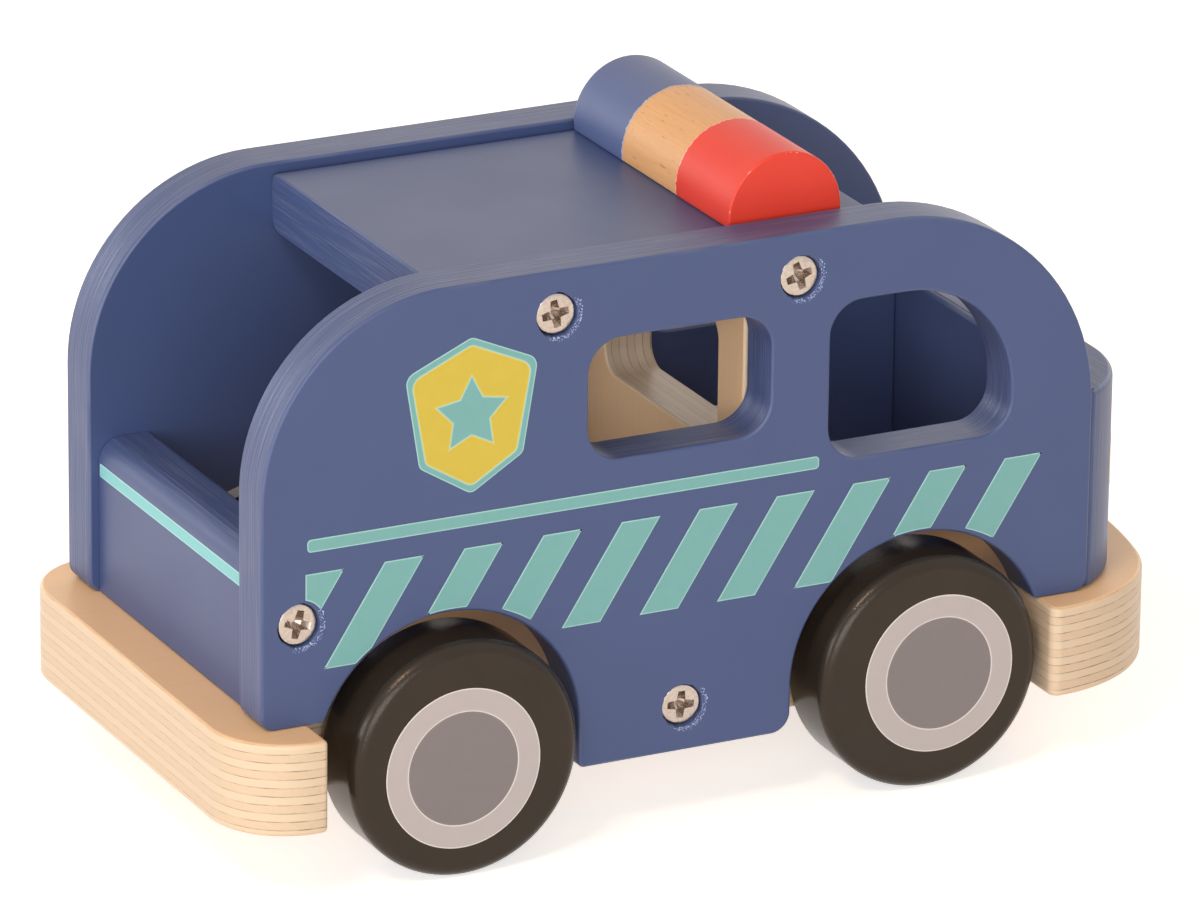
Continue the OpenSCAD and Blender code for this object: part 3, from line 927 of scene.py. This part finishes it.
def cutByCircle(points, centre, radius, look=stripeLook):  # takes off what a circle covers, if it cuts once
    fine = []
    for i, point in enumerate(points):
        last = points[i - 1]
        steps = max(2, round((point - last).length / look["step"]))
        fine += [last.lerp(point, k / steps) for k in range(steps)]
    kept = [(point - centre).length >= radius for point in fine]
    if all(kept):
        return points
    first = next(i for i in range(len(fine)) if kept[i] and not kept[i - 1])
    turned = fine[first:] + fine[:first]
    outside = [point for point in turned if (point - centre).length >= radius]
    leave, back = [math.atan2(point.y - centre.y, point.x - centre.x) for point in (outside[-1], outside[0])]
    sweep = (back - leave + math.pi) % (2 * math.pi) - math.pi
    angles = [leave + sweep * k / look["arcSteps"] for k in range(1, look["arcSteps"])]
    return outside + [centre + Vector((math.cos(angle), math.sin(angle))) * radius for angle in angles]


def stripeOutline(i, look):
    left, bottom, top = look["first"] + i * look["pitch"], look["bottom"], look["top"]
    footLeft, right = left - look["lean"], left + look["wide"]
    corners = [Vector((footLeft, bottom)), Vector((footLeft + look["wide"], bottom)),
               Vector((right, top)), Vector((left, top))]
    if left < look["rearEdge"]:  # the rearmost stripe is cut off upright
        cutZ = top - (right - look["rearEdge"]) / look["lean"] * (top - bottom)
        corners = [Vector((look["rearEdge"], cutZ)), corners[2], Vector((look["rearEdge"], top))]
    for x in (rearArchX, frontArchX):  # the clear strip round an arch is wider on its front side
        for lean in (0, look["archLean"]):
            corners = cutByCircle(corners, Vector((x + lean, axleZ)), archRadius + look["archMargin"])
    for spot in sideScrews["tailgate_screws"]:
        corners = cutByCircle(corners, Vector(spot) + Vector(pocketLook["lean"]), look["screwMargin"])
    return corners


bandLook = dict(box=(-75.2, 58.6, 17.6, 60.8), round=0.7)
badgeLook = dict(x=-46.05, top=91.05, shoulder=85.8, shoulderHalf=11.9, hip=69.9, hipHalf=9.3, bottom=64.2,
                 border=1.2, borderShares=(1.15, 0.75, 0.5), cornerRound=1.6, shoulderRound=2.2, starZ=77.8,
                 starOuter=6.75, starInner=3.5)


def shieldArcs(look, inset):
    tipIn, shoulderIn, hipIn = [inset * share for share in look["borderShares"]]  # for an even border
    shoulderHalf, hipHalf = look["shoulderHalf"], look["hipHalf"]
    shoulderZ, hipZ = look["shoulder"] - shoulderIn, look["hip"] + hipIn
    tight, wide = look["cornerRound"], look["shoulderRound"]
    return filleted([(look["x"], look["top"] - tipIn, tight),
                     (look["x"] - shoulderHalf + inset, shoulderZ, wide),
                     (look["x"] - hipHalf + inset, hipZ, tight),
                     (look["x"], look["bottom"] + tipIn, tight),
                     (look["x"] + hipHalf - inset, hipZ, tight),
                     (look["x"] + shoulderHalf - inset, shoulderZ, wide)])


def starPoints(look):
    made = []
    for i in range(10):
        reach = look["starInner"] if i % 2 else look["starOuter"]
        angle = math.radians(90 + 36 * i)
        made.append(Vector((look["x"] + reach * math.cos(angle), look["starZ"] + reach * math.sin(angle))))
    return made


def addSidePrint(side, name):
    outer = side * panelOut

    def place(u, v, w):
        return Vector((u, outer - side * w, v))

    grain = (0, 2, 1, outer)
    bm = startMesh()
    for i in range(stripeLook["count"]):
        addFilm(bm, [polygonRing(stripeOutline(i, stripeLook))], place, grain, 0)
    addFilm(bm, [plate(*bandLook["box"], bandLook["round"])], place, grain, 0)
    shield = ringOf(shieldArcs(badgeLook, 0))
    field = ringOf(shieldArcs(badgeLook, badgeLook["border"]))
    star = polygonRing(starPoints(badgeLook))
    addFilm(bm, [shield, hole(field)], place, grain, 0)
    addFilm(bm, [field, hole(star)], place, grain, 1, filmLook["thinner"])
    addFilm(bm, [star], place, grain, 0)
    finishPiece(bm, name, [tealInk, yellowInk], "body")


gateBandLook = dict(bottom=49.7, top=52.0, inset=0.8, round=0.3)


def addGatePrint(look):
    bm = startMesh()
    ring = plate(gateLow.y + look["inset"], look["bottom"], gateHigh.y - look["inset"], look["top"],
                 look["round"])
    addFilm(bm, [ring], lambda u, v, w: Vector((gateLow.x + w, u, v)), (1, 2, 0, gateLow.x), 0)
    finishPiece(bm, "tailgate_band", [paleTealInk], "body")


lampLook = dict(y=27.0, z=47.3, radius=5.0, rings=8, around=48, proud=0.05, sunk=0.02)


def addLampPrint(look):  # two round lamps printed over the nose's rounded corners
    radius = noseLook["radius"]
    centreX, centreY = noseEnd(noseLook)
    bend = math.asin((look["y"] + centreY) / radius) * radius
    bm = startMesh()
    for side in (-1, 1):
        def place(along, v, w):  # along the nose's front face, from where its rounding starts
            turn = max(0.0, along) / radius
            flat = min(0.0, along)
            out = Vector((math.cos(turn), side * math.sin(turn), 0))
            return Vector((centreX, side * (-centreY + flat), look["z"] + v)) + out * (radius - w)

        def lampRow(reach, w, arris):
            row = []
            for c, s in spokes(look["around"] if reach > 0 else 1):
                along = bend + reach * c
                facing = place(along, 0, -1) - place(along, 0, 0)
                row.append(addPoint(bm, place(along, reach * s, w), facing, (1, 2, 0, noseLow.x), arris))
            return row

        shares = [1 - k / look["rings"] for k in range(look["rings"] + 1)]
        rows = [lampRow(look["radius"] * share, -look["proud"], float(share == 1)) for share in shares]
        foot = lampRow(look["radius"], look["sunk"], 1.0)
        addStrips(bm, [foot] + rows)
    finishPiece(bm, "nose_lamps", [lampInk], "body")


addSidePrint(-1, "right_side_print")
addSidePrint(1, "left_side_print")
addGatePrint(gateBandLook)
addLampPrint(lampLook)
print("prints made")


# Screws and the chips round them, set out by Geometry Nodes; the chips' whiteness on one side of each hole
# is partly painted glints

def screwTemplate(length, look):
    head, shank, edge = headRadius, look["shank"] / 2, look["edge"]
    bevel = look["bevel"] * edge
    z = edge + look["rim"] + head - shank
    profile = [(head - edge, 0), (head - bevel, bevel), (head, edge), (head, edge + look["rim"]), (shank, z)]
    while z < length - look["point"]:
        z += look["pitch"] / look["rows"]  # rows of points in each turn
        profile.append((shank, z))
    bm = bmesh.new()
    rows = []
    for radius, z in profile:
        row = []
        for i, (c, s) in enumerate(spokes(look["around"])):
            reach = radius
            if radius == shank:  # the thread winds round a thinner core
                wave = abs((z / look["pitch"] - i / look["around"]) % 1 - 0.5) * 2
                reach = radius - look["core"] + look["ridge"] * max(0.0, 1 - look["steep"] * wave)
            row.append(bm.verts.new((reach * c, reach * s, z)))
        rows.append(row)
    tip = bm.verts.new((0, 0, length))
    arm = ((look["recess"], -look["slot"]), (look["recess"], look["slot"]), (look["throat"], look["throat"]))
    turns = [Matrix.Rotation(math.pi / 2 * k, 2) for k in range(4)]
    crosses = []
    for share, depth in look["cross"]:
        spots = [turn @ Vector(spot) * share for turn in turns for spot in arm]
        crosses.append([bm.verts.new((spot.x, spot.y, depth)) for spot in spots])
    for corners in [*strips(rows + [[tip]]), *strips(crosses), crosses[-1]]:
        bm.faces.new(corners)
    bmesh.ops.triangle_fill(bm, use_beauty=True, use_dissolve=False,
                            edges=ringEdges(bm, rows[0]) + ringEdges(bm, crosses[0]))
    mesh = meshFrom(bm, "wood screw")
    mesh.shade_smooth()
    mesh.set_sharp_from_angle(angle=math.radians(look["sharp"]))
    return bpy.data.objects.new("wood screw", mesh)


def startTree(name, kinds):  # a tree with its named inputs, what adds its nodes, and the way its marks point
    tree = bpy.data.node_groups.new(name, "GeometryNodeTree")
    for title, kind in {"Marks": "Geometry", **kinds}.items():
        tree.interface.new_socket(title, in_out="INPUT", socket_type="NodeSocket" + kind)
    tree.interface.new_socket("Made", in_out="OUTPUT", socket_type="NodeSocketGeometry")
    add = partial(addNode, tree)
    drive = add("GeometryNodeInputNamedAttribute", {"Name": "drive"}, data_type="FLOAT_VECTOR")
    aligned = add("FunctionNodeAlignRotationToVector", {"Vector": drive}, axis="Z")
    return tree, add, add("NodeGroupInput").outputs, aligned


def endTree(add, placed, finish):
    solid = add("GeometryNodeRealizeInstances", {0: placed})
    dressed = add("GeometryNodeSetMaterial", {"Geometry": solid, "Material": finish})
    add("NodeGroupOutput", {0: dressed})


def screwTree():
    tree, add, start, aligned = startTree("screws on their marks", {
        "Screw": "Object", "Finish": "Material", "Lean": "Float", "Seed": "Int"})
    spin = add("GeometryNodeInputNamedAttribute", {"Name": "spin"}, data_type="FLOAT")
    least = add("Math", {0: start["Lean"], 1: -1.0}, operation="MULTIPLY")
    tilt = add("FunctionNodeRandomValue", {2: least, 3: start["Lean"], "Seed": start["Seed"]},
               data_type="FLOAT")
    turn = add("CombineXYZ", {0: tilt, 1: tilt, 2: spin})
    lean = add("FunctionNodeEulerToRotation", {0: turn})
    turned = add("FunctionNodeRotateRotation", {0: aligned, 1: lean}, rotation_space="LOCAL")
    screw = add("GeometryNodeObjectInfo", {"Object": start["Screw"]}).outputs["Geometry"]
    placed = add("GeometryNodeInstanceOnPoints", {"Points": start["Marks"], "Instance": screw,
                                                  "Rotation": turned})
    endTree(add, placed, start["Finish"])
    return tree


# the chips sit on one side of each hole and are whitish: chipped paint, and partly painted glints
chipLook = dict(ring=4.1, count=360, keep=0.8, scatter=0.38, grit=0.17, sunk=0.07, seed=5,
                lean=(0.15, -0.15), towards=(0.8, 0.6, 0.0), arcFrom=0.3, smallest=(0.35, 0.35, 0.35),
                largest=(1.2, 0.8, 1.2), roll=(6.3, 6.3, 6.3))


def chipTree(look):
    tree, add, start, aligned = startTree("paint chips and painted glints round screw holes", {
        "Ring radius": "Float", "Count": "Int", "Share kept": "Float", "Scatter": "Float", "Grit": "Float",
        "Finish": "Material", "Seed": "Int"})
    radius, scatter, seed = start["Ring radius"], start["Scatter"], start["Seed"]
    ring = add("GeometryNodeMeshCircle", {"Vertices": start["Count"], "Radius": radius})
    spot = add("GeometryNodeInputPosition")
    # only the arc facing one way keeps its chips, where the painted glints sit
    toChip = add("VectorMath", {0: spot, 1: look["towards"]}, operation="DOT_PRODUCT")
    least = add("Math", {0: radius, 1: look["arcFrom"]}, operation="MULTIPLY")
    whole = add("FunctionNodeCompare", {0: toChip, 1: least}, operation="LESS_THAN")
    arc = add("GeometryNodeDeleteGeometry", {0: ring, 1: whole}, domain="POINT")
    rings = add("GeometryNodeInstanceOnPoints", {"Points": start["Marks"], "Instance": arc,
                                                 "Rotation": aligned})
    loose = add("GeometryNodeRealizeInstances", {0: rings})
    back = add("Math", {0: scatter, 1: -1.0}, operation="MULTIPLY")
    low, high = [add("CombineXYZ", {0: reach, 2: reach}) for reach in (back, scatter)]
    ranges = (low, high), (look["smallest"], look["largest"]), ((0, 0, 0), look["roll"])
    jitter, scale, roll = [add("FunctionNodeRandomValue", {0: least, 1: most, "Seed": seed},
                               data_type="FLOAT_VECTOR") for least, most in ranges]
    strewn = add("GeometryNodeSetPosition", {"Geometry": loose, "Offset": jitter})
    kept = add("FunctionNodeRandomValue", {"Probability": start["Share kept"], "Seed": seed},
               data_type="BOOLEAN")
    grit = add("GeometryNodeMeshIcoSphere", {"Subdivisions": 1, "Radius": start["Grit"]})
    crumbs = add("GeometryNodeInstanceOnPoints", {"Points": strewn, "Selection": kept, "Instance": grit,
                                                  "Rotation": roll, "Scale": scale})
    endTree(add, crumbs, start["Finish"])
    return tree


def grow(name, marks, tree, values):  # marks: (place in mm, direction, spin in degrees), made a plain mesh
    mesh = bpy.data.meshes.new(name)
    mesh.from_pydata([Vector(place) * mm for place, drive, spin in marks], [], [])
    mesh.attributes.new("drive", "FLOAT_VECTOR", "POINT")
    mesh.attributes.new("spin", "FLOAT", "POINT")
    for i, (place, drive, spin) in enumerate(marks):
        mesh.attributes["drive"].data[i].vector = drive
        mesh.attributes["spin"].data[i].value = math.radians(spin)
    holder = intoScene(name, mesh)
    modifier = holder.modifiers.new("made by nodes", "NODES")
    modifier.node_group = tree
    for socket in tree.interface.items_tree:
        if socket.name in values:
            modifier[socket.identifier] = values[socket.name]
    grown = bpy.data.meshes.new_from_object(holder.evaluated_get(bpy.context.evaluated_depsgraph_get()))
    holder.modifiers.remove(modifier)
    holder.data = grown
    return holder


screwNodes = screwTree()
chipNodes = chipTree(chipLook)


def addScrews(node, marks, length, lean):
    template = screwTemplate(length, screwLook)
    piece = grow("nickel_" + node, marks, screwNodes, {"Screw": template, "Finish": nickel,
                                                       "Lean": math.radians(lean), "Seed": len(node)})
    bpy.data.objects.remove(template)
    claim(piece, "body", node)


def addChips(marks, look):
    piece = grow("screw_hole_chips", marks, chipNodes, {
        "Ring radius": look["ring"] * mm, "Count": look["count"], "Share kept": look["keep"],
        "Scatter": look["scatter"] * mm, "Grit": look["grit"] * mm, "Finish": chipsWithPaintedGlints,
        "Seed": look["seed"]})
    claim(piece, "body")


chipMarks = []
chipY = panelOut - chipLook["sunk"]
for node, places in sideScrews.items():
    headY = boxOf(node)[1].y
    marks = []
    for side in (-1, 1):
        for (x, z), spin in zip(places, screwLook["spins"][node]):
            marks.append(((x, side * headY, z), (0, -side, 0), spin))
            chipX, chipZ = x + chipLook["lean"][0], z + chipLook["lean"][1]
            chipMarks.append(((chipX, side * chipY, chipZ), (0, -side, 0), 0))
    addScrews(node, marks, screwLook["sideLength"], screwLook["lean"])
for node, places in floorScrews.items():
    low, high = boxOf(node)
    marks = [((x, y, low.z), (0, 0, 1), screwLook["floorSpin"]) for x, y in places]
    addScrews(node, marks, high.z - low.z, 0)
addChips(chipMarks, chipLook)
print("screws set, with chipped paint and painted glints round them")


# Floor, background and light

stageLook = dict(white="#FFFFFF", floor="#F4F3F1", rough=0.9, half=3.0, lift=0.6, ambient=0.46,
                 walls="#F2EFEC", ceiling="#FFE2C0", ceilingFrom=0.7)


def seenRays(add):  # 1 for what the eye sees, straight, in a gloss or through glass
    path = add("LightPath").outputs
    seen = add("Math", {0: path["Is Camera Ray"], 1: path["Is Glossy Ray"]}, operation="MAXIMUM")
    return add("Math", {0: seen, 1: path["Is Transmission Ray"]}, operation="MAXIMUM")


def addFloor(look):
    mesh = bpy.data.meshes.new("floor")
    half = look["half"]
    corners = [(-half, -half, 0), (half, -half, 0), (half, half, 0), (-half, half, 0)]
    mesh.from_pydata(corners, [], [(0, 1, 2, 3)])
    floor = intoScene("floor", mesh)
    finish, add, shader = startFinish("pale studio floor", {
        "Base Color": linear(look["floor"]), "Roughness": look["rough"],
        "Emission Color": linear(look["white"])})
    glow = add("Math", {0: seenRays(add), 1: look["lift"]}, operation="MULTIPLY")
    feed(shader, {"Emission Strength": glow})
    mesh.materials.append(finish)


def addWorld(look):
    world = bpy.data.worlds.new("white studio")
    bpy.context.scene.world = world
    world.use_nodes = True
    add = partial(addNode, world.node_tree)
    seen = seenRays(add)
    level = add("MapRange", {"Value": seen, "To Min": look["ambient"], "To Max": 1.0})
    height = add("SeparateXYZ", {0: add("TexCoord").outputs["Generated"]}).outputs["Z"]
    upwards = add("MapRange", {"Value": height, "From Max": look["ceilingFrom"]})
    white, walls, ceiling = [linear(look[name]) for name in ("white", "walls", "ceiling")]
    room = add("Mix", {mixFactor: upwards, mixFirst: walls, mixSecond: ceiling}, data_type="RGBA")
    shown = add("Mix", {mixFactor: seen, mixFirst: room, mixSecond: white}, data_type="RGBA")
    feed(world.node_tree.nodes["Background"], {"Strength": level, "Color": shown})


lampAim = Vector((0, 0, 0.05))  # all lamps face the middle of the bus
lampsLook = {
    "softbox behind the bus": dict(place=(-1.7, -0.2, 0.4), size=(0.9, 0.6), power=8, colour="#FFFFFF"),
    "softbox at its right": dict(place=(-0.75, -1.45, 0.45), size=(1.1, 0.8), power=12.5, colour="#FFFFFF"),
    "softbox at its front": dict(place=(1.6, 0.9, 0.6), size=(1.2, 0.9), power=5, colour="#FFFFFF"),
    "softbox at its left": dict(place=(-0.3, 1.8, 0.2), size=(1.2, 0.4), power=5, colour="#FFFFFF"),
    "warm ceiling lamp": dict(place=(-0.8, -0.6, 1.25), size=(0.35, 0.35), power=7.1, colour="#FFE3C6"),
    "warm glow of the room": dict(place=(0.8, 1.7, 0.7), size=(1.6, 1.0), power=2, colour="#FFE3C6")}


def addLamps(lamps):
    for name, look in lamps.items():
        light = bpy.data.lights.new(name, "AREA")
        light.shape = "RECTANGLE"
        light.size, light.size_y = look["size"]
        light.energy = look["power"]
        light.color = linear(look["colour"])[:3]
        lamp = intoScene(name, light)
        lamp.location = look["place"]
        lamp.rotation_euler = (lampAim - Vector(look["place"])).to_track_quat("-Z", "Y").to_euler()


addFloor(stageLook)
addWorld(stageLook)
addLamps(lampsLook)
bpy.context.scene.view_settings.view_transform = "Standard"
print("stage lit")
